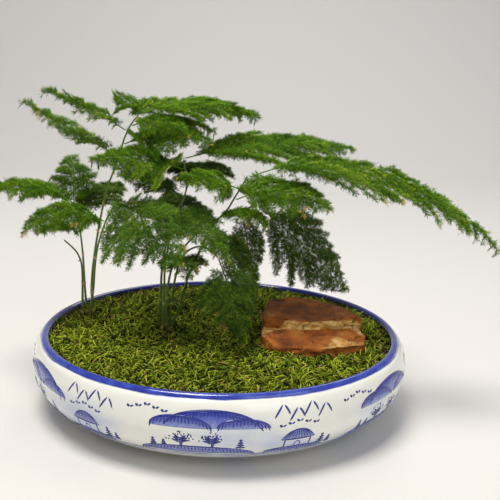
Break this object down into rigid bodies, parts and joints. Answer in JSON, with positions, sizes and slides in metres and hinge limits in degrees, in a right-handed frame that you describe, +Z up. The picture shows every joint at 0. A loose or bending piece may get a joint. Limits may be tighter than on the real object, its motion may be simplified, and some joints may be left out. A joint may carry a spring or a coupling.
{
  "type": "potted asparagus fern bonsai",
  "caption": "Shallow round glazed porcelain bowl with a blue lip, planted with a feathery asparagus fern over sheet moss beside a slab of orange stone.",
  "frame": {"origin": "centre of the underside of the bowl's foot, on the surface that the bowl stands on", "axes": "+Z up; +X to the side where the longest frond reaches; -Y towards the front, where the stone's step shows"},
  "size_m": [0.3796, 0.278, 0.2283],
  "materials": {
    "porcelain": "gloss",
    "soil": "matte",
    "root": "matte",
    "moss": "matte",
    "stone": "matte",
    "cane": "satin",
    "frond": "satin"
  },
  "bodies": {
    "root": {"pot": "porcelain", "root_crown_left": "root", "root_crown_middle": "root", "soil": "soil", "stone": "stone", "moss_front_left": "moss", "moss_front": "moss", "moss_right": "moss", "moss_back_right": "moss", "moss_back_left": "moss", "cane_left_tall": "cane", "frond_top_right": "frond", "frond_top_tuft": "frond", "frond_top_middle": "frond", "frond_top_front": "frond", "frond_upper_left": "frond", "frond_left_spear": "frond", "frond_top_back": "frond", "frond_upper_middle": "frond", "cane_left_outer": "cane", "frond_far_left": "frond", "frond_raised_left": "frond", "frond_low_small": "frond", "frond_back_left": "frond", "cane_left_front": "cane", "frond_low_left": "frond", "frond_front_left": "frond", "cane_left_short": "cane", "cane_middle_straight": "cane", "frond_middle_left": "frond", "frond_middle_right": "frond", "frond_inner_left": "frond", "frond_back_middle": "frond", "cane_middle_near": "cane", "frond_front_middle": "frond", "cane_middle_leaning": "cane", "frond_long_right": "frond", "frond_under_right": "frond", "frond_under_left": "frond", "frond_under_tip": "frond", "frond_inner_right": "frond", "cane_middle_weeping": "cane", "frond_weeping_front": "frond", "frond_inner_small": "frond", "cane_middle_back": "cane", "frond_weeping_right": "frond", "frond_weeping_inner": "frond", "frond_back_low": "frond"}
  },
  "joints": []
}
